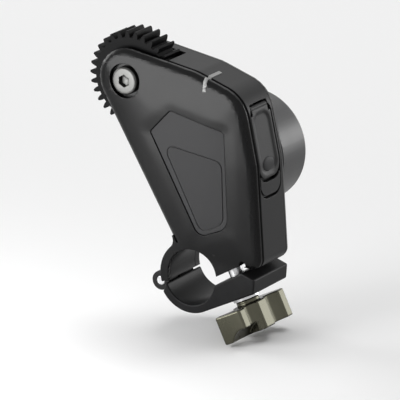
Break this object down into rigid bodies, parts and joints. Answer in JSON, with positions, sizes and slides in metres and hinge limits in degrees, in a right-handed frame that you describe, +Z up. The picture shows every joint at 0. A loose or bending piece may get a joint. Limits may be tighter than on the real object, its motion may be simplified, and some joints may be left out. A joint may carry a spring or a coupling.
{
  "type": "follow focus unit",
  "caption": "Motorised follow focus unit: flat black housing with an exposed lens gear, a round motor can behind and a rod clamp closed by a wing knob.",
  "frame": {"origin": "on the axis of the rod clamp's bore, halfway along it", "axes": "+Y along the clamped rod from the front cover to the motor can, +Z up towards the lens gear, +X to the right seen from the front"},
  "size_m": [0.0551, 0.0367, 0.0788],
  "materials": {
    "housing_black": "matte black, fine grain",
    "band_black": "satin black",
    "can_black": "satin black, anodised",
    "badge_grey": "satin dark grey",
    "inlay_grey": "satin dark grey",
    "mark_white": "matte white",
    "flap_rubber": "matte",
    "key_rubber": "matte",
    "gear_plastic": "satin black",
    "steel": "turned",
    "bright_screw": "bright",
    "dark_screw": "blackened steel",
    "brass": "machined",
    "copper": "wound copper",
    "magnet": "ground",
    "zinc_case": "turned",
    "board_green": "solder mask",
    "black_plastic": "moulded",
    "jaw_grey": "satin dark grey",
    "knob_bronze": "olive bronze, anodised"
  },
  "bodies": {
    "housing": {"front_cover": "housing_black", "main_frame": "band_black", "rear_cover": "band_black", "motor_can": "can_black", "badge_plate": "badge_grey", "badge_inlay": "inlay_grey", "index_line": "mark_white", "flap_pin": "steel", "key_switch": "black_plastic", "circuit_board": "board_green", "board_screws": "steel", "port_sockets": "steel", "socket_tongues": "black_plastic", "gear_axle": "steel", "gear_spacer": "steel", "gear_screw": "bright_screw", "axle_screw": "dark_screw", "idler_bushes": "brass", "motor_case": "zinc_case", "motor_endcap": "black_plastic", "stator": "copper", "motor_bearings": "steel", "encoder_board": "board_green", "motor_screws": "steel", "can_screws": "dark_screw", "housing_screws": "dark_screw", "jaw_pin": "steel"},
    "gear": {"lens_gear": "gear_plastic", "gear_bushes": "brass"},
    "idler": {"drive_pinion": "steel", "reduction_gear": "brass", "idler_shaft": "steel"},
    "motor_spindle": {"rotor": "magnet", "motor_shaft": "steel", "motor_pinion": "brass", "encoder_magnet": "magnet"},
    "jaw": {"clamp_jaw": "jaw_grey"},
    "washer": {"knob_washer": "steel"},
    "knob": {"wing_knob": "knob_bronze", "clamp_stud": "steel", "knob_pin": "steel"},
    "flap": {"port_flap": "flap_rubber"},
    "key": {"side_key": "key_rubber"}
  },
  "joints": [
    {"name": "gear_spin", "type": "hinge", "parent": "housing", "child": "gear", "pos_m": [-0.0204, 0, 0.0511], "axis": [0, 1, 0], "continuous": true},
    {"name": "idler_spin", "type": "hinge", "parent": "housing", "child": "idler", "pos_m": [-0.00553, 0, 0.04017], "axis": [0, 1, 0], "continuous": true},
    {"name": "motor_spin", "type": "hinge", "parent": "housing", "child": "motor_spindle", "pos_m": [0.003, 0, 0.0303], "axis": [0, 1, 0], "continuous": true},
    {"name": "washer_slide", "type": "slide", "parent": "housing", "child": "washer", "axis": [0.4384, 0, -0.8988], "range_m": [0, 0.0014]},
    {"name": "knob_turn", "type": "hinge", "parent": "washer", "child": "knob", "pos_m": [0.00953, -0.00285, 0.00465], "axis": [0.4384, 0, -0.8988], "range_deg": [0, 720]},
    {"name": "jaw_swing", "type": "hinge", "parent": "housing", "child": "jaw", "pos_m": [-0.01059, 0, -0.00324], "axis": [0, 1, 0], "range_deg": [0, 2.86]},
    {"name": "flap_swing", "type": "hinge", "parent": "housing", "child": "flap", "pos_m": [0.01489, 0, 0.04712], "axis": [0, -1, 0], "range_deg": [0, 90]},
    {"name": "key_press", "type": "slide", "parent": "housing", "child": "key", "axis": [-1, 0, 0], "range_m": [0, 0.0005], "stiffness_N_per_m": 800, "springref_m": -0.001}
  ],
  "couplings": [
    {"joint": "idler_spin", "follows": "gear_spin", "ratio": -1.875},
    {"joint": "motor_spin", "follows": "gear_spin", "ratio": 6.25},
    {"joint": "knob_turn", "follows": "washer_slide", "rad_per_m": 8975.9},
    {"joint": "jaw_swing", "follows": "washer_slide", "rad_per_m": 35.714}
  ]
}
